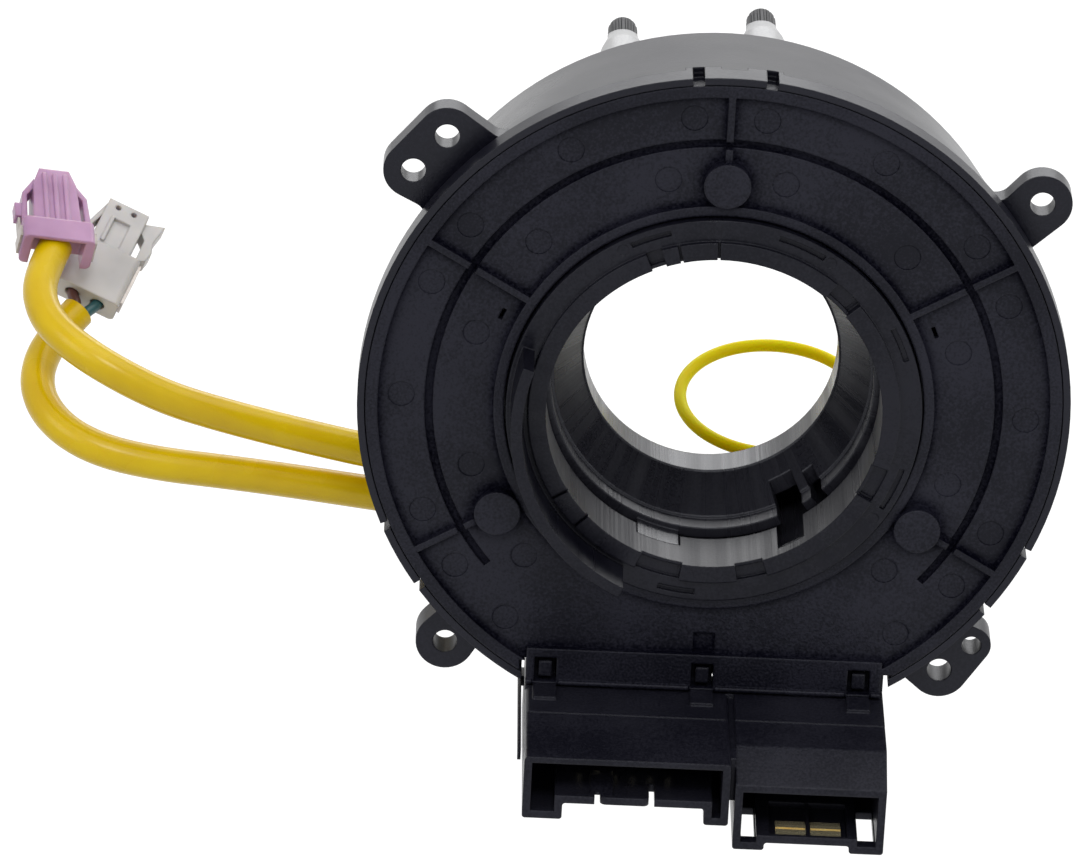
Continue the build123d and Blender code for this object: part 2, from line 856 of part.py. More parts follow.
# Rotor: lid, drum, pocket, funnel and collar in one piece
lid_under = case_length + lid_gap
lid_front = lid_under + lid_thickness
drum_inner = drum_radius - drum_wall
collar_outer = collar_radius + collar_wall
pocket_outer = pocket_radius + pocket_wall
rim_inner = funnel_back_radius + funnel_rim_step
rim_outer = rim_inner + funnel_rim_wall
rotor = turned(
    [
        (collar_radius, -collar_end),
        (collar_outer, -collar_end),
        (collar_outer, -pocket_floor_depth),
        (pocket_radius, -pocket_floor_depth),
        (pocket_radius, -lid_front),
        (lid_radius, -lid_front),
        (lid_radius, -lid_under),
        (drum_radius, -lid_under),
        (drum_radius, -drum_start),
        (drum_inner, -drum_start),
        (drum_inner, -lid_under + lid_thickness),
        (pocket_outer, -lid_under + lid_thickness),
        (pocket_outer, -pocket_floor_depth + pocket_wall),
        (collar_outer + funnel_wall / 2, -funnel_end - funnel_wall / 2),
        (rim_outer, -funnel_start - funnel_wall / 2),
        (rim_outer, -funnel_rim_start),
        (rim_inner, -funnel_rim_start),
        (rim_inner, -funnel_start),
        (funnel_back_radius, -funnel_start),
        (funnel_front_radius, -funnel_end),
        (collar_radius, -funnel_end),
    ]
)
hook_start, hook_end = tube_hook
rotor += sector(
    ring_bore_radius + tube_hook_gap,
    ring_bore_radius + tube_hook_gap + tube_hook_thickness,
    -funnel_start,
    -tube_hook_start - tube_hook_gap,
    hook_start + tube_hook_turn,
    hook_end - tube_hook_turn,
)
funnel_slope = (funnel_end - funnel_start) / (funnel_back_radius - funnel_front_radius)
for start, end, near in funnel_notches:
    floor = funnel_start + funnel_slope * (funnel_back_radius - near)
    rotor -= sector(near, rim_outer + tiny, -floor, -funnel_rim_start + clear, start, end)
lock_hole = Cylinder(lock_pin_radius + lock_hole_gap, lid_front)
rotor -= polar(lock_circle_radius, lock_angle, -lid_front) * lock_hole

# Cancelling cam ring
tube_outer = ring_bore_radius + ring_tube_wall
band_top = ring_face_stand + band_stand
cancel_cam_ring = turned(
    [
        (ring_outer, ring_face_stand),
        (band_outer_radius, ring_face_stand),
        (band_outer_radius, band_top),
        (ring_bore_radius, band_top),
        (ring_bore_radius, -ring_tube_end),
        (tube_outer, -ring_tube_end),
        (tube_outer, -drum_start),
        (drum_radius, -drum_start),
        (drum_radius, -thrust_end),
        (thrust_radius, -thrust_end),
        (thrust_radius, -thrust_start),
        (ring_outer, -thrust_start),
    ]
)
cancel_cam_ring += sector(
    cam_inner_radius,
    cam_inner_radius + cam_width,
    0,
    cam_height,
    cam_start_angle,
    cam_end_angle,
)
for start, end in arc_slots:
    cancel_cam_ring -= sector(
        arc_slot_radius - arc_slot_width / 2,
        arc_slot_radius + arc_slot_width / 2,
        ring_face_stand - arc_slot_depth,
        band_top,
        start,
        end,
    )
for angle in ring_mark_angles:
    mark = Cylinder(ring_mark_diameter / 2, 2 * mark_depth)
    cancel_cam_ring -= polar(ring_mark_radius, angle, ring_face_stand) * mark
lip_radius = ring_bore_radius + band_notch_lip
for start, end in band_notches:
    for inner, outer, drop in (
        (ring_bore_radius - clear, lip_radius, band_lip_drop),
        (lip_radius - tiny, band_outer_radius, band_notch_depth),
    ):
        cancel_cam_ring -= sector(inner, outer, band_top - drop, band_top + clear, start, end)
for angle in band_nicks:
    nick = block(
        ring_bore_radius - clear,
        band_outer_radius,
        -band_nick_width / 2,
        band_nick_width / 2,
        band_top - band_nick_depth,
        band_top + clear,
    )
    cancel_cam_ring -= Rot(0, 0, angle) * nick
window_start, window_end = tube_window
for near, start, end in (
    (tube_hook_start, hook_start, hook_end),
    (tube_window_start, window_start, window_end),
):
    inner = ring_bore_radius - clear
    cancel_cam_ring -= sector(inner, tube_outer + tiny, -ring_tube_end - clear, -near, start, end)

# Ribbon cable, wound in half turns, with a clamp at each end
flat_cable = Part()
for half in range(2 * ribbon_turns):
    radius = ribbon_inner_radius + half * ribbon_pitch / 2
    shift = 0 if half % 2 == 0 else ribbon_pitch / 2
    start = 0 if half % 2 == 0 else 180
    half_turn = sector(
        radius - ribbon_thickness / 2,
        radius + ribbon_thickness / 2,
        -ribbon_end_depth,
        -ribbon_start_depth,
        start,
        start + 180,
    )
    flat_cable += Pos(shift, 0, 0) * half_turn
ribbon_outer_radius = ribbon_inner_radius + ribbon_turns * ribbon_pitch
clamp_angle = degrees(clamp_width / ribbon_outer_radius)
clamp_inner_radius = ribbon_outer_radius + ribbon_thickness / 2 + clamp_seat
outer_cable_clamp = turned(
    [
        (clamp_inner_radius, -ribbon_end_depth),
        (wall_radius(ribbon_end_depth) - case_wall - clamp_seat, -ribbon_end_depth),
        (wall_radius(ribbon_start_depth) - case_wall - clamp_seat, -ribbon_start_depth),
        (clamp_inner_radius, -ribbon_start_depth),
    ],
    -clamp_angle,
    0,
)
inner_cable_clamp = sector(
    drum_radius,
    ribbon_inner_radius - ribbon_thickness / 2 - clamp_gap,
    -ribbon_end_depth,
    -ribbon_start_depth,
    -clamp_angle,
    0,
)

# Guide posts with fluted tips, parted from the posts along a slanted plane
post_neck_depth = post_tip_depth - post_neck_length
post_cone_depth = post_neck_depth - post_cone_length
tip_centre_depth = post_tip_depth - tip_radius
post_neck_radius = tip_radius + post_neck_step
tip_side = Pos(0, 0, -tip_slant_depth) * Rot(tip_slant, 0, 0) * Box(
    case_length, case_length, case_length, align=(Align.CENTER, Align.CENTER, Align.MAX)
)


def guide_post(angle):
    """Round post that narrows towards its tip."""
    profile = [
        (0, -lid_front),
        (post_base_radius, -lid_front),
        (post_base_radius, -post_cone_depth),
        (post_neck_radius, -post_neck_depth),
        (post_neck_radius, -tip_centre_depth),
        (0, -tip_centre_depth),
    ]
    post = turned(profile) + Pos(0, 0, -tip_centre_depth) * Sphere(post_neck_radius)
    return polar(post_circle_radius, angle) * (post - tip_side)


def post_tip(angle):
    """Domed tip with flutes round it."""
    tip = Cylinder(tip_radius, 2 * post_neck_length)
    for step in range(tip_flutes):
        flute = Cylinder(tip_flute_radius, 2 * post_neck_length)
        tip -= polar(tip_radius, step * 360 / tip_flutes) * flute
    tip = Pos(0, 0, -tip_centre_depth) * tip
    dome = Pos(0, 0, -tip_centre_depth) * Sphere(tip_radius)
    dome += sector(0, tip_radius, -tip_centre_depth, -lid_front)
    return polar(post_circle_radius, angle) * (tip & tip_side & dome)


left_guide_post = guide_post(post_angles["left"])
right_guide_post = guide_post(post_angles["right"])
left_post_tip = post_tip(post_angles["left"])
right_post_tip = post_tip(post_angles["right"])

# Lead hood on the front of the lid
lead_bore_radius = lead_diameter / 2 + lead_mouth_clearance
lead_hood = block(hood_left, hood_right, hood_bottom, hood_top, -lid_front - hood_height, -lid_front)
lead_hood = fillet(lead_hood.faces().sort_by(Axis.Z)[0].edges(), hood_corner_radius)
lead_hood &= Cylinder(lid_radius - hood_inset, 2 * (lid_front + hood_height))
for route in (upper_lead_route, lower_lead_route):
    start_x, start_y, start_z = route[0]
    bore = Rot(0, -90, 0) * Cylinder(lead_bore_radius, hood_right - hood_left, align=LOW_END)
    lead_hood -= Pos(start_x, start_z, -start_y) * bore

# Switch socket on the front of the lid
socket_x, socket_y = socket_centre
socket_left = socket_x - wheel_socket_width / 2
socket_right = socket_x + wheel_socket_width / 2
socket_low = socket_y - wheel_socket_depth / 2
socket_high = socket_y + wheel_socket_depth / 2
socket_front = lid_front + wheel_socket_height
wheel_socket = block(socket_left, socket_right, socket_low, socket_high, -socket_front, -lid_front)
wheel_socket -= block(
    socket_left + socket_wall,
    socket_right - socket_wall,
    socket_low + socket_wall,
    socket_high - socket_wall,
    -socket_front - clear,
    -lid_front - wheel_socket_floor,
)
wheel_pin_section = Sketch() + [
    Pos(socket_x + (column - (wheel_pins_per_row - 1) / 2) * pin_pitch, socket_y + row * pin_row_pitch / 2)
    * Rectangle(pin_size, pin_size)
    for row in (-1, 1)
    for column in range(wheel_pins_per_row)
]
wheel_pins = extrude(wheel_pin_section, wheel_socket_height - pin_recess)
wheel_pins = Pos(0, 0, -socket_front + pin_recess) * wheel_pins
wheel_socket -= wheel_pins

# Lock pin, arm and pull ring
arm_depth = lid_front + lock_arm_thickness
lock_tip_depth = lock_socket_top + lock_tip_gap
lock_pin = polar(lock_circle_radius, lock_angle, -arm_depth) * Cylinder(
    lock_pin_radius, arm_depth - lock_tip_depth, align=LOW_END
)
lock_arm = block(
    lock_arm_inner_radius,
    lock_circle_radius,
    -lock_arm_width / 2,
    lock_arm_width / 2,
    -arm_depth,
    -lid_front,
)
lock_arm += Pos(lock_circle_radius, 0, -arm_depth) * Cylinder(
    lock_arm_width / 2, lock_arm_thickness, align=LOW_END
)
lock_pin += Rot(0, 0, lock_angle) * lock_arm
pull_ring_centre = (*pull_ring_place, -lid_front - pull_ring_drop)
pull_ring_plane = Plane(origin=pull_ring_centre, x_dir=(1, 0, 0), z_dir=pull_ring_normal)
lock_pin += pull_ring_plane * Torus(pull_ring_radius, pull_ring_strand)


def bend_radii(route):
    """Radius at each inner point of a route, from the shorter run that meets there."""
    points = [Vector(*point) for point in route]
    radii = []
    for before, corner, after in zip(points, points[1:], points[2:]):
        arriving = corner - before
        leaving = after - corner
        half_turn = radians(arriving.get_angle(leaving)) / 2
        radii.append(bend_share * min(arriving.length, leaving.length) / tan(half_turn))
    return radii


def cord(name, route, diameter):
    """Round cord along straight runs joined by arcs."""
    radii = bend_radii(route)
    path = FilletPolyline(*route, radius=radii)
    start = Plane(origin=path @ 0, z_dir=path % 0)
    solid = sweep(start * Circle(diameter / 2), path=path)
    expected = path.length * pi * (diameter / 2) ** 2
    print(name, "length", round(path.length, 1), "radii", [round(radius, 1) for radius in radii])
    print(name, "volume over section times length", round(solid.volume / expected, 4))
    return solid


upper_lead = cord("upper_lead", upper_lead_route, lead_diameter)
lower_lead = cord("lower_lead", lower_lead_route, lead_diameter)


def bar(width, thickness, low, high, x=0.0, y=0.0):
    """Rectangular bar along a plug's axis."""
    box = Box(width, thickness, high - low, align=LOW_END)
    return Pos(x, y, low) * box


def flat_piece(outline, thickness, height):
    """Plate in the plane of a plug's flat side, from (across, along) points."""
    points = [(across, along + height) for across, along in outline]
    return extrude(make_face(Plane.XZ * Polyline(*points, close=True)), thickness / 2, both=True)


def mirrored(outline):
    """Outline with the sign of its first coordinate changed."""
    return [(-across, along) for across, along in reversed(outline)]


# Pink plug on the upper lead
pink_place = Plane(origin=upper_lead_route[-1], x_dir=pink_across, z_dir=pink_axis)
flange_width, flange_thickness, flange_length = pink_flange
nose_start = flange_length - pink_lead_insert
pink_body = bar(flange_width, flange_thickness, -pink_lead_insert, nose_start)
pink_body = fillet(pink_body.edges().filter_by(Axis.Z), corner_radius)
pink_nose = pink_nose_outline + mirrored(pink_nose_outline)
pink_body += flat_piece(pink_nose, pink_nose_thickness, nose_start)
rib_high = nose_start + pink_nose_length - pink_rib_margin
for step in (-1, 0, 1):
    pink_body += bar(
        pink_rib_width,
        pink_nose_thickness + 2 * pink_rib_height,
        nose_start,
        rib_high,
        step * pink_rib_pitch,
    )
for outline in (pink_strap, mirrored(pink_strap)):
    pink_body += flat_piece(outline, pink_strap_thickness, nose_start)
lug_width, lug_length, lug_thickness = pink_lug
lug_x = pink_lug_inset - pink_strap[2][0] - lug_width / 2
lug_low = nose_start + pink_lug_start
pink_body += bar(lug_width, lug_thickness, lug_low, lug_low + lug_length, lug_x)
pink_body = Pos(0, -pink_lead_offset, 0) * pink_body
recess_thickness = lead_diameter + 2 * sleeve_gap
pink_body -= bar(pink_recess_width, recess_thickness, -pink_lead_insert - clear, pink_recess_floor)
pink_plug = pink_place * pink_body

clip_low = -pink_lead_insert + pink_clip_start
clip_high = clip_low + pink_clip_length
pink_clips = Part()
for side in (-1, 1):
    clip_x = side * (flange_width + clip_thickness) / 2
    clip = bar(clip_thickness, flange_thickness - 2 * corner_radius, clip_low, clip_high, clip_x)
    clip += bar(clip_thickness, clip_tongue_width, clip_high, nose_start + pink_clip_reach, clip_x)
    pink_clips += Pos(0, -pink_lead_offset, 0) * clip
pink_clips = pink_place * pink_clips

# White plug on the lower lead, joined to the sleeve by two wires
white_direction = Vector(*white_axis).normalized()
white_side = Vector(*white_across).normalized()
sleeve_end = Vector(*lower_lead_route[-1])
white_entry = sleeve_end + white_direction * wire_length
white_place = Plane(origin=white_entry, x_dir=white_side, z_dir=white_direction)
body_width, body_thickness, body_length = white_body
nose_width, nose_thickness, nose_length = white_nose
white_end = body_length + nose_length
white_shell = bar(body_width, body_thickness, 0, body_length)
white_shell = fillet(white_shell.edges().filter_by(Axis.Z), corner_radius)
white_shell += bar(nose_width, nose_thickness, body_length, white_end)
for outline in (white_strap, white_lug):
    white_shell += flat_piece(outline, white_strap_thickness, body_length)
recess_width, recess_depth, recess_length = white_recess
recess_low = body_length + white_recess_start
recess_high = recess_low + recess_length
rib_width, rib_height = white_rib
nose_face = -nose_thickness / 2
white_shell -= bar(recess_width, 2 * recess_depth, recess_low, recess_high, 0, nose_face)
rib_x = -(recess_width + rib_width) / 2
white_shell += bar(rib_width, 2 * rib_height, recess_low, recess_high, rib_x, nose_face)
for place in probe_hole_places:
    probe = Rot(90, 0, 0) * Cylinder(probe_hole / 2, nose_thickness)
    white_shell -= Pos(place, nose_face, white_end - probe_hole_setback) * probe
for side in (-1, 1):
    wire_hole = Cylinder(wire_diameter / 2 + sleeve_gap, 2 * wire_insert + clear)
    white_shell -= Pos(side * wire_spread[1], 0, 0) * wire_hole
white_plug = white_place * white_shell

white_clips = Part()
for side in (-1, 1):
    clip_x = side * (body_width + clip_thickness) / 2
    clip_high = body_length - clip_margin
    white_clips += bar(clip_thickness, body_thickness - 2 * corner_radius, clip_margin, clip_high, clip_x)
    white_clips += bar(clip_thickness, clip_tongue_width, clip_high, clip_high + clip_tongue_length, clip_x)
white_clips = white_place * white_clips

near_spread, far_spread = wire_spread
sleeve_direction = (sleeve_end - Vector(*lower_lead_route[-2])).normalized()
sleeve_side = (white_side - sleeve_direction * white_side.dot(sleeve_direction)).normalized()


def wire_route(side):
    """Points of one wire, from the sleeve's end to its hole in the plug."""
    start = sleeve_end + sleeve_side * (side * near_spread)
    bend = start + sleeve_direction * wire_lead_out
    entry = white_entry + white_side * (side * far_spread) - white_direction * wire_straight
    end = white_entry + white_side * (side * far_spread) + white_direction * wire_insert
    return [tuple(start), tuple(bend), tuple(entry), tuple(end)]


brown_wire = cord("brown_wire", wire_route(-1), wire_diameter)
green_wire = cord("green_wire", wire_route(1), wire_diameter)

benched = {
    "outer_case": outer_case,
    "back_cover": back_cover,
    "connector_housing": housing,
    "signal_pins": signal_pins,
    "contact_tray": contact_tray,
    "airbag_contacts": airbag_contacts,
    "flat_cable": flat_cable,
    "outer_cable_clamp": outer_cable_clamp,
    "rotor": rotor,
    "cancel_cam_ring": cancel_cam_ring,
    "inner_cable_clamp": inner_cable_clamp,
    "left_guide_post": left_guide_post,
    "right_guide_post": right_guide_post,
    "left_post_tip": left_post_tip,
    "right_post_tip": right_post_tip,
    "lead_hood": lead_hood,
    "wheel_socket": wheel_socket,
    "wheel_pins": wheel_pins,
    "lock_pin": lock_pin,
}
standing = {
    "upper_lead": upper_lead,
    "lower_lead": lower_lead,
    "pink_plug": pink_plug,
    "pink_plug_clips": pink_clips,
    "white_plug": white_plug,
    "white_plug_clips": white_clips,
    "brown_wire": brown_wire,
    "green_wire": green_wire,
}
pieces = {name: STAND * solid for name, solid in benched.items()}
pieces.update(standing)

os.makedirs("parts", exist_ok=True)
for name, solid in pieces.items():
    size = solid.bounding_box().size
    print(name, [round(side, 1) for side in (size.X, size.Y, size.Z)], "solids", len(solid.solids()))
    export_step(solid, f"parts/{name}.step")
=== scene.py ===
import bpy
from math import radians
from mathutils import Matrix, Vector


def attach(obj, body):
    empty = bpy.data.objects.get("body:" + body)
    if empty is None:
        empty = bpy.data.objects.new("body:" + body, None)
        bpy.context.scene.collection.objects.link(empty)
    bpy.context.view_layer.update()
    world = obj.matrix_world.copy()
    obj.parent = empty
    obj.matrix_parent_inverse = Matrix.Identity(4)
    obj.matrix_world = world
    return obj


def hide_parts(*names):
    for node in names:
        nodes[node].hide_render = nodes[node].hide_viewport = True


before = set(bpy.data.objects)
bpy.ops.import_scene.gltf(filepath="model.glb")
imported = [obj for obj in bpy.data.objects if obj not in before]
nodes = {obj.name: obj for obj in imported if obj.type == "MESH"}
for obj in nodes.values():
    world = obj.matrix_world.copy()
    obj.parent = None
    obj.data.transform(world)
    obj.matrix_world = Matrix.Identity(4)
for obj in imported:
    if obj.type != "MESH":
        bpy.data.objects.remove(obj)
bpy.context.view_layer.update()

MM = 0.001
WHITE = (1.0, 1.0, 1.0, 1.0)
scene = bpy.context.scene


# Camera: the photograph's view of the back, from above
SENSOR_WIDTH = 36.0
LENS = 280.18
FARTHEST_SEEN = 20.0
CAMERA_PLACE = (-0.04858, -1.11222, 0.49852)
CAMERA_TURN_DEGREES = (65.635, -2.700, 0.009)

camera_data = bpy.data.cameras.new("photo_camera")
camera_data.sensor_fit = "HORIZONTAL"
camera_data.sensor_width = SENSOR_WIDTH
camera_data.lens = LENS
camera_data.clip_end = FARTHEST_SEEN
camera = bpy.data.objects.new("photo_camera", camera_data)
scene.collection.objects.link(camera)
camera.location = CAMERA_PLACE
camera.rotation_euler = [radians(turn) for turn in CAMERA_TURN_DEGREES]
scene.camera = camera


# Building blocks of the materials
BEVEL_SAMPLES = 6
# Painted shade in corners: ambient occlusion samples, the openness range, and the share of
# specular level kept in the shade
CORNER_SAMPLES = 12
CORNER_OPENNESS = (0.6, 0.94)
PAINTED_SHADE_SHEEN = 0.1
BORE_FADE_RADII = (25.5 * MM, 27.0 * MM)
STREAK_DETAIL = 4.0


def base_material(name, colour, roughness, metallic=0.0):
    material = bpy.data.materials.new(name)
    material.use_nodes = True
    tree = material.node_tree
    shader = tree.nodes["Principled BSDF"]
    shader.inputs["Base Color"].default_value = (*colour, 1.0)
    shader.inputs["Roughness"].default_value = roughness
    shader.inputs["Metallic"].default_value = metallic
    return material, tree, shader


def noise(tree, scale, detail, roughness=0.5):
    coordinates = tree.nodes.new("ShaderNodeTexCoord")
    texture = tree.nodes.new("ShaderNodeTexNoise")
    texture.inputs["Scale"].default_value = scale
    texture.inputs["Detail"].default_value = detail
    texture.inputs["Roughness"].default_value = roughness
    tree.links.new(coordinates.outputs["Object"], texture.inputs["Vector"])
    return texture.outputs["Fac"]


def streaks_round_axis(tree, scale):
    """Noise that only changes with the angle about the shaft axis, as a turned mould leaves it."""
    coordinates = tree.nodes.new("ShaderNodeTexCoord")
    parts = tree.nodes.new("ShaderNodeSeparateXYZ")
    angle = tree.nodes.new("ShaderNodeMath")
    angle.operation = "ARCTAN2"
    texture = tree.nodes.new("ShaderNodeTexNoise")
    texture.noise_dimensions = "1D"
    texture.inputs["Scale"].default_value = scale
    texture.inputs["Detail"].default_value = STREAK_DETAIL
    tree.links.new(coordinates.outputs["Object"], parts.inputs["Vector"])
    tree.links.new(parts.outputs["X"], angle.inputs[0])
    tree.links.new(parts.outputs["Z"], angle.inputs[1])
    tree.links.new(angle.outputs["Value"], texture.inputs["W"])
    return texture.outputs["Fac"]


def map_range(tree, value, low, high, start=0.0, end=1.0):
    """Turn start..end into low..high, and keep what lies outside at the nearer end."""
    node = tree.nodes.new("ShaderNodeMapRange")
    node.inputs["From Min"].default_value = start
    node.inputs["From Max"].default_value = end
    node.inputs["To Min"].default_value = low
    node.inputs["To Max"].default_value = high
    tree.links.new(value, node.inputs["Value"])
    return node.outputs["Result"]


def colour_mix(tree, factor, low, high, start=0.35, end=0.65):
    """Blend from low to high while the factor goes from start to end."""
    ramp = tree.nodes.new("ShaderNodeValToRGB")
    ramp.color_ramp.elements[0].position = start
    ramp.color_ramp.elements[0].color = (*low, 1.0)
    ramp.color_ramp.elements[1].position = end
    ramp.color_ramp.elements[1].color = (*high, 1.0)
    tree.links.new(factor, ramp.inputs["Fac"])
    return ramp.outputs["Color"]


def average(tree, first, second):
    half = tree.nodes.new("ShaderNodeMath")
    half.operation = "MULTIPLY"
    half.inputs[1].default_value = 0.5
    tree.links.new(first, half.inputs[0])
    total = tree.nodes.new("ShaderNodeMath")
    total.operation = "MULTIPLY_ADD"
    total.inputs[1].default_value = 0.5
    tree.links.new(second, total.inputs[0])
    tree.links.new(half.outputs["Value"], total.inputs[2])
    return total.outputs["Value"]


def bump(tree, normal_input, height, strength, distance):
    node = tree.nodes.new("ShaderNodeBump")
    node.inputs["Strength"].default_value = strength
    node.inputs["Distance"].default_value = distance
    tree.links.new(height, node.inputs["Height"])
    tree.links.new(node.outputs["Normal"], normal_input)
    return node


def rounded_edges(tree, normal_input, radius):
    """Let sharp moulded edges catch the light as if they had a small radius."""
    soft = tree.nodes.new("ShaderNodeBevel")
    soft.samples = BEVEL_SAMPLES
    soft.inputs["Radius"].default_value = radius
    tree.links.new(soft.outputs["Normal"], normal_input)


def inside_bore(tree, strength):
    """The strength in the shaft passage, fading to nothing on the flat faces round it."""
    coordinates = tree.nodes.new("ShaderNodeTexCoord")
    flat = tree.nodes.new("ShaderNodeVectorMath")
    flat.operation = "MULTIPLY"
    flat.inputs[1].default_value = (1.0, 0.0, 1.0)
    distance = tree.nodes.new("ShaderNodeVectorMath")
    distance.operation = "LENGTH"
    tree.links.new(coordinates.outputs["Object"], flat.inputs[0])
    tree.links.new(flat.outputs["Vector"], distance.inputs[0])
    return map_range(tree, distance.outputs["Value"], strength, 0.0, *BORE_FADE_RADII)


def painted_corner_shade(tree, shader, specular, reach):
    """Painted shade: dim the specular level in corners and at rib feet, by ambient occlusion."""
    openness = tree.nodes.new("ShaderNodeAmbientOcclusion")
    openness.samples = CORNER_SAMPLES
    openness.only_local = True
    openness.inputs["Distance"].default_value = reach
    painted_shade_specular = map_range(
        tree, openness.outputs["AO"], PAINTED_SHADE_SHEEN * specular, specular, *CORNER_OPENNESS
    )
    tree.links.new(painted_shade_specular, shader.inputs["Specular IOR Level"])


# Moulded plastic
COOL_SHEEN = (0.90, 0.92, 1.0, 1.0)
SPECKLE_RANGE = (0.42, 0.58)
GRAIN_SCALE = 2600
GRAIN_DEPTH = 0.08 * MM
TURNED_GLOSS_SCALE = 7
TURNED_LINE_SCALE = 45
TURNED_LINE_STRENGTH = 0.13
TURNED_LINE_DEPTH = 0.4 * MM


def moulded_plastic(
    name,
    low,
    high,
    roughness,
    grain,
    specular,
    flow=60,
    patch=160,
    uneven=0.05,
    edge=0.35 * MM,
    turned=False,
    painted_shade_reach=0.0,
):
    """Plastic with a fine grain, faint flow variation, uneven gloss and soft edges.

    low, high: its darkest and lightest colour. grain: strength of the grain's bump.
    flow, patch: noise scales of the colour and the gloss. uneven: how far the gloss varies.
    edge: radius that sharp edges seem to have. turned: the lines of a turned mould in the bore.
    painted_shade_reach: reach of the painted shade that dims reflections in corners, or 0 for
    none.
    """
    material, tree, shader = base_material(name, high, roughness)
    shader.inputs["Specular IOR Level"].default_value = specular
    shader.inputs["Specular Tint"].default_value = COOL_SHEEN
    fine = noise(tree, GRAIN_SCALE, detail=2)
    speckle = average(tree, noise(tree, flow, detail=3), fine)
    colour = colour_mix(tree, speckle, low, high, *SPECKLE_RANGE)
    tree.links.new(colour, shader.inputs["Base Color"])
    if turned:
        patches = streaks_round_axis(tree, TURNED_GLOSS_SCALE)
    else:
        patches = noise(tree, patch, detail=4)
    gloss = map_range(tree, patches, roughness - uneven, roughness + uneven)
    tree.links.new(gloss, shader.inputs["Roughness"])
    last_bump = bump(tree, shader.inputs["Normal"], fine, grain, GRAIN_DEPTH)
    if turned:
        lines = streaks_round_axis(tree, TURNED_LINE_SCALE)
        last_bump = bump(tree, last_bump.inputs["Normal"], lines, 1.0, TURNED_LINE_DEPTH)
        tree.links.new(inside_bore(tree, TURNED_LINE_STRENGTH), last_bump.inputs["Strength"])
    rounded_edges(tree, last_bump.inputs["Normal"], edge)
    # Painted shade: the specular level dimmed in corners and at rib feet
    if painted_shade_reach:
        painted_corner_shade(tree, shader, specular, painted_shade_reach)
    return material


case_black = moulded_plastic(
    "case_black",
    low=(0.004, 0.004, 0.008),
    high=(0.009, 0.009, 0.015),
    roughness=0.33,
    grain=0.25,
    specular=0.26,
    flow=25,
    patch=22,
    uneven=0.25,
)
cover_black = moulded_plastic(
    "cover_black",
    low=(0.001, 0.001, 0.004),
    high=(0.013, 0.013, 0.021),
    roughness=0.40,
    grain=0.8,
    specular=0.20,
    patch=40,
    uneven=0.1,
    edge=0.45 * MM,
    # painted shade at the rib feet and in the corners of the cover
    painted_shade_reach=3.0 * MM,
)
housing_black = moulded_plastic(
    "housing_black",
    low=(0.005, 0.005, 0.009),
    high=(0.015, 0.015, 0.022),
    roughness=0.34,
    grain=0.3,
    specular=0.17,
    uneven=0.08,
    edge=0.5 * MM,
)
rotor_black = moulded_plastic(
    "rotor_black",
    low=(0.010, 0.010, 0.014),
    high=(0.019, 0.019, 0.025),
    roughness=0.28,
    grain=0.1,
    specular=0.42,
    uneven=0.18,
    turned=True,
)
ring_black = moulded_plastic(
    "ring_black",
    low=(0.002, 0.002, 0.005),
    high=(0.009, 0.009, 0.014),
    roughness=0.32,
    grain=0.15,
    specular=0.2,
    uneven=0.2,
    turned=True,
)
post_pale = moulded_plastic(
    "post_pale",
    low=(0.44, 0.44, 0.45),
    high=(0.50, 0.50, 0.50),
    roughness=0.35,
    grain=0.1,
    specular=0.4,
)
tip_dark = moulded_plastic(
    "tip_dark",
    low=(0.004, 0.004, 0.006),
    high=(0.008, 0.008, 0.011),
    roughness=0.30,
    grain=0.2,
    specular=0.1,
    edge=0.1 * MM,
)
ribbon_cream = moulded_plastic(
    "ribbon_cream",
    low=(0.6, 0.57, 0.48),
    high=(0.7, 0.67, 0.58),
    roughness=0.3,
    grain=0.1,
    specular=0.5,
)


# Glossy plastic and insulation
DEPTH_SCALE = 90
RIPPLE_SCALE = 420
RIPPLE_STRENGTH = 0.08
RIPPLE_DEPTH = 0.2 * MM
GLOSS_SPREAD = (-0.04, 0.06)
SCATTER_RADIUS = (3.0 * MM, 2.0 * MM, 1.0 * MM)
SCATTER_SCALE = 0.4


def soft_gloss(name, low, high, roughness, transmit=0.0, specular=0.5, edge=0.0):
    """Smooth glossy plastic, a little deeper in colour in places.

    transmit: share of the light that spreads below the surface.
    edge: radius that sharp edges seem to have, or 0 for none.
    """
    material, tree, shader = base_material(name, high, roughness)
    broad = noise(tree, DEPTH_SCALE, detail=3)
    tree.links.new(colour_mix(tree, broad, low, high), shader.inputs["Base Color"])
    ripples = noise(tree, RIPPLE_SCALE, detail=2)
    ripple_bump = bump(tree, shader.inputs["Normal"], ripples, RIPPLE_STRENGTH, RIPPLE_DEPTH)
    if edge:
        rounded_edges(tree, ripple_bump.inputs["Normal"], edge)
    shader.inputs["Specular IOR Level"].default_value = specular
    gloss = map_range(tree, broad, *(roughness + change for change in GLOSS_SPREAD))
    tree.links.new(gloss, shader.inputs["Roughness"])
    shader.inputs["Subsurface Weight"].default_value = transmit
    shader.inputs["Subsurface Radius"].default_value = SCATTER_RADIUS
    shader.inputs["Subsurface Scale"].default_value = SCATTER_SCALE
    return material


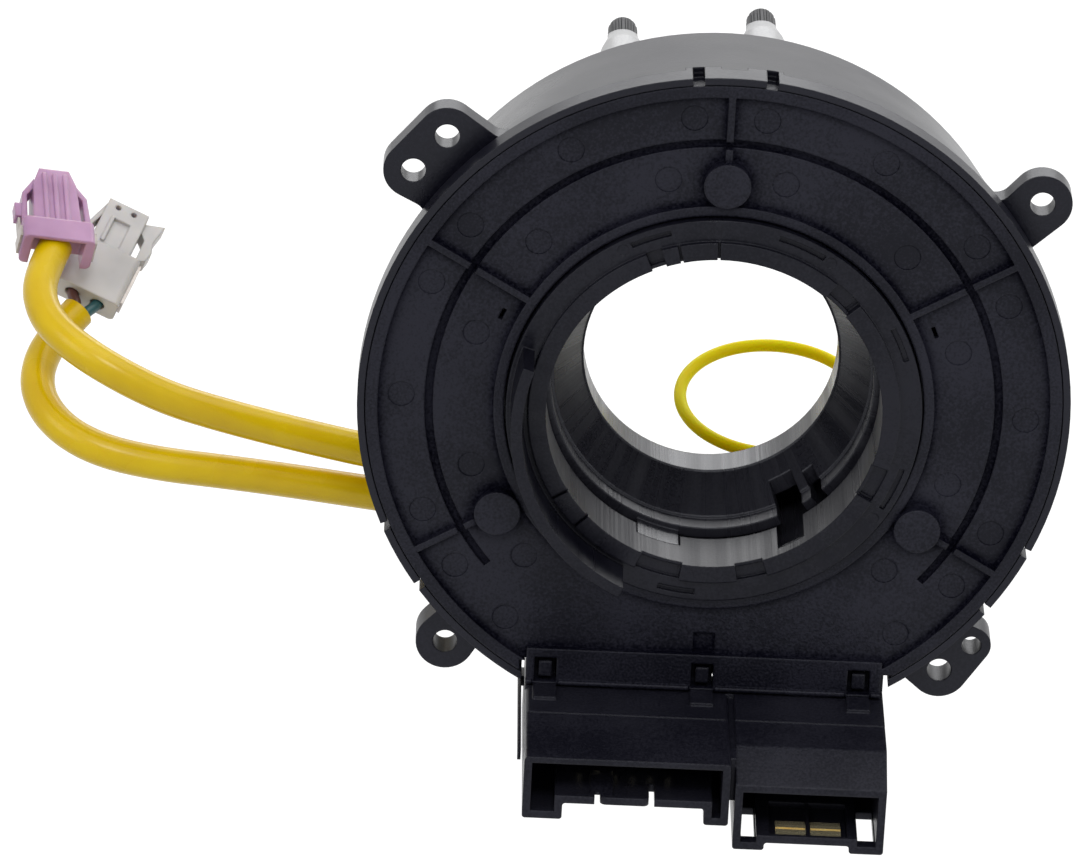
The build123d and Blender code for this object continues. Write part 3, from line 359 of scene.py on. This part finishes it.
sleeve_yellow = soft_gloss(
    "sleeve_yellow",
    low=(0.70, 0.46, 0.0),
    high=(0.80, 0.56, 0.0),
    roughness=0.26,
    transmit=0.08,
    specular=0.34,
)
ring_yellow = soft_gloss(
    "ring_yellow",
    low=(0.98, 0.75, 0.0),
    high=(1.0, 0.80, 0.0),
    roughness=0.45,
    transmit=1.0,
    specular=0.08,
)
plug_pink = soft_gloss(
    "plug_pink",
    low=(0.40, 0.21, 0.37),
    high=(0.54, 0.31, 0.50),
    roughness=0.34,
    transmit=0.35,
    edge=0.5 * MM,
)
plug_white = soft_gloss(
    "plug_white",
    low=(0.50, 0.485, 0.475),
    high=(0.66, 0.64, 0.625),
    roughness=0.34,
    transmit=0.25,
    edge=0.5 * MM,
)
wire_brown = soft_gloss(
    "wire_brown", low=(0.09, 0.035, 0.03), high=(0.13, 0.055, 0.05), roughness=0.32
)
wire_green = soft_gloss(
    "wire_green", low=(0.02, 0.085, 0.10), high=(0.035, 0.13, 0.15), roughness=0.32
)


# Stamped metal
BRUSH_SCALE = 500
BRUSH_STRENGTH = 0.1
BRUSH_DEPTH = 0.1 * MM
BRUSH_SPREAD = (-0.06, 0.1)


def stamped_metal(name, low, high, roughness, metallic=1.0):
    """Metal with uneven gloss and colour, and a faint texture from the press."""
    material, tree, shader = base_material(name, high, roughness, metallic)
    streaks = noise(tree, BRUSH_SCALE, detail=4, roughness=0.6)
    tree.links.new(colour_mix(tree, streaks, low, high), shader.inputs["Base Color"])
    gloss = map_range(tree, streaks, *(roughness + change for change in BRUSH_SPREAD))
    tree.links.new(gloss, shader.inputs["Roughness"])
    bump(tree, shader.inputs["Normal"], streaks, BRUSH_STRENGTH, BRUSH_DEPTH)
    return material


clip_metal = stamped_metal(
    "clip_metal", low=(0.30, 0.27, 0.25), high=(0.44, 0.40, 0.37), roughness=0.34
)
gold_metal = stamped_metal(
    "gold_metal", low=(0.98, 0.84, 0.50), high=(1.0, 0.92, 0.64), roughness=0.2, metallic=0.8
)
pin_metal = stamped_metal(
    "pin_metal", low=(0.5, 0.46, 0.34), high=(0.62, 0.58, 0.44), roughness=0.3
)


# Which material each CAD piece has
paint = {
    "outer_case": case_black,
    "outer_cable_clamp": case_black,
    "back_cover": cover_black,
    "connector_housing": housing_black,
    "contact_tray": housing_black,
    "signal_pins": pin_metal,
    "wheel_pins": pin_metal,
    "airbag_contacts": gold_metal,
    "flat_cable": ribbon_cream,
    "rotor": rotor_black,
    "lead_hood": rotor_black,
    "wheel_socket": rotor_black,
    "inner_cable_clamp": rotor_black,
    "cancel_cam_ring": ring_black,
    "left_guide_post": post_pale,
    "right_guide_post": post_pale,
    "left_post_tip": tip_dark,
    "right_post_tip": tip_dark,
    "lock_pin": ring_yellow,
    "pink_plug": plug_pink,
    "white_plug": plug_white,
    "pink_plug_clips": clip_metal,
    "white_plug_clips": clip_metal,
    "brown_wire": wire_brown,
    "green_wire": wire_green,
}
for name, material in paint.items():
    piece = nodes[name]
    piece.data.materials.clear()
    piece.data.materials.append(material)


# Leads: the sleeves of the two airbag leads, through part.py's points in millimetres
SLEEVE_DIAMETER = 5.2 * MM

upper_route = [
    (-24.0, 37.8, -28.4),
    (-34.0, 37.8, -28.4),
    (-48.0, 37.2, -26.2),
    (-61.5, 36.0, -22.9),
    (-72.0, 34.4, -19.7),
    (-80.5, 33.6, -16.9),
    (-88.4, 33.8, -13.1),
    (-94.6, 36.5, -10.3),
    (-98.4, 40.4, -8.4),
    (-100.2, 44.9, -6.5),
    (-100.1, 49.8, -4.6),
    (-98.4, 56.0, -2.7),
]
lower_route = [
    (-24.0, 37.8, -34.9),
    (-34.0, 37.8, -34.9),
    (-48.0, 37.4, -33.0),
    (-61.5, 36.3, -30.9),
    (-72.0, 34.9, -29.2),
    (-80.5, 33.8, -28.0),
    (-88.3, 33.6, -26.5),
    (-93.7, 35.0, -24.9),
    (-97.6, 37.8, -23.0),
    (-99.9, 41.8, -20.9),
    (-100.2, 46.2, -18.5),
    (-98.4, 51.5, -16.0),
    (-94.8, 56.0, -13.4),
]


def lead(name, route):
    """A round sleeve along the route, which turns with the wheel side."""
    curve = bpy.data.curves.new(name, "CURVE")
    curve.dimensions = "3D"
    curve.bevel_depth = SLEEVE_DIAMETER / 2
    curve.bevel_resolution = 8
    curve.resolution_u = 12
    curve.use_fill_caps = True
    spline = curve.splines.new("NURBS")
    spline.points.add(len(route) - 1)
    for point, place in zip(spline.points, route):
        point.co = (place[0] * MM, place[1] * MM, place[2] * MM, 1.0)
    spline.order_u = 3
    spline.use_endpoint_u = True
    curve.materials.append(sleeve_yellow)
    sleeve = bpy.data.objects.new(name, curve)
    scene.collection.objects.link(sleeve)
    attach(sleeve, "wheel_side")
    return sleeve


upper = lead("upper_sleeve", upper_route)
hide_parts("upper_lead")
lower = lead("lower_sleeve", lower_route)
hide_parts("lower_lead")


# Floor and backdrop: plain white where they are seen, dimmer as light on the part
FLOOR_LEVEL = -0.12
FLOOR_PLAN = ((-4, -4), (4, -4), (4, 6), (-4, 6))
FLOOR_GLOW = 0.62
BACKDROP_GLOW = 1.0
BACKDROP_LIGHT = 0.5


def seen_directly(tree):
    """One where the camera, a reflection or a clear piece looks, zero for light that spreads."""
    paths = tree.nodes.new("ShaderNodeLightPath")
    total = paths.outputs["Is Camera Ray"]
    for ray in ("Is Glossy Ray", "Is Transmission Ray"):
        highest = tree.nodes.new("ShaderNodeMath")
        highest.operation = "MAXIMUM"
        tree.links.new(total, highest.inputs[0])
        tree.links.new(paths.outputs[ray], highest.inputs[1])
        total = highest.outputs["Value"]
    return total


floor_corners = [(x, y, FLOOR_LEVEL) for x, y in FLOOR_PLAN]
floor_mesh = bpy.data.meshes.new("floor")
floor_mesh.from_pydata(floor_corners, [], [(0, 1, 2, 3)])
floor = bpy.data.objects.new("floor", floor_mesh)
scene.collection.objects.link(floor)
floor_material, floor_tree, floor_shader = base_material(
    "floor", colour=(0.5, 0.5, 0.5), roughness=0.9
)
floor_shader.inputs["Specular IOR Level"].default_value = 0.1
floor_shader.inputs["Emission Color"].default_value = WHITE
floor_glow = map_range(floor_tree, seen_directly(floor_tree), 0.0, FLOOR_GLOW)
floor_tree.links.new(floor_glow, floor_shader.inputs["Emission Strength"])
floor_mesh.materials.append(floor_material)

scene.view_settings.view_transform = "Standard"
world = bpy.data.worlds.new("studio")
scene.world = world
world.use_nodes = True
world_tree = world.node_tree
background = world_tree.nodes["Background"]
background.inputs["Color"].default_value = WHITE
glow = map_range(world_tree, seen_directly(world_tree), BACKDROP_LIGHT, BACKDROP_GLOW)
world_tree.links.new(glow, background.inputs["Strength"])


# Lamps, all aimed at the middle of the case
LAMP_AIM = Vector((0.0, 0.02, 0.0))


def lamp(name, place, width, height, watts):
    light = bpy.data.lights.new(name, "AREA")
    light.shape = "RECTANGLE"
    light.size = width
    light.size_y = height
    light.energy = watts
    holder = bpy.data.objects.new(name, light)
    scene.collection.objects.link(holder)
    turn = (LAMP_AIM - Vector(place)).to_track_quat("-Z", "Y").to_matrix().to_4x4()
    holder.matrix_world = Matrix.Translation(Vector(place)) @ turn


lamp("over_light", (0.25, 0.1, 1.2), width=0.9, height=1.0, watts=3.9)
lamp("back_light", (0.25, 1.45, 0.68), width=1.8, height=0.5, watts=8)
lamp("front_light", (0.02, -0.80, 1.0), width=0.3, height=0.3, watts=3.4)
lamp("left_light", (-1.0, -0.9, 0.8), width=0.8, height=0.8, watts=4.2)
lamp("right_light", (1.2, -0.5, 0.4), width=0.6, height=0.6, watts=2)
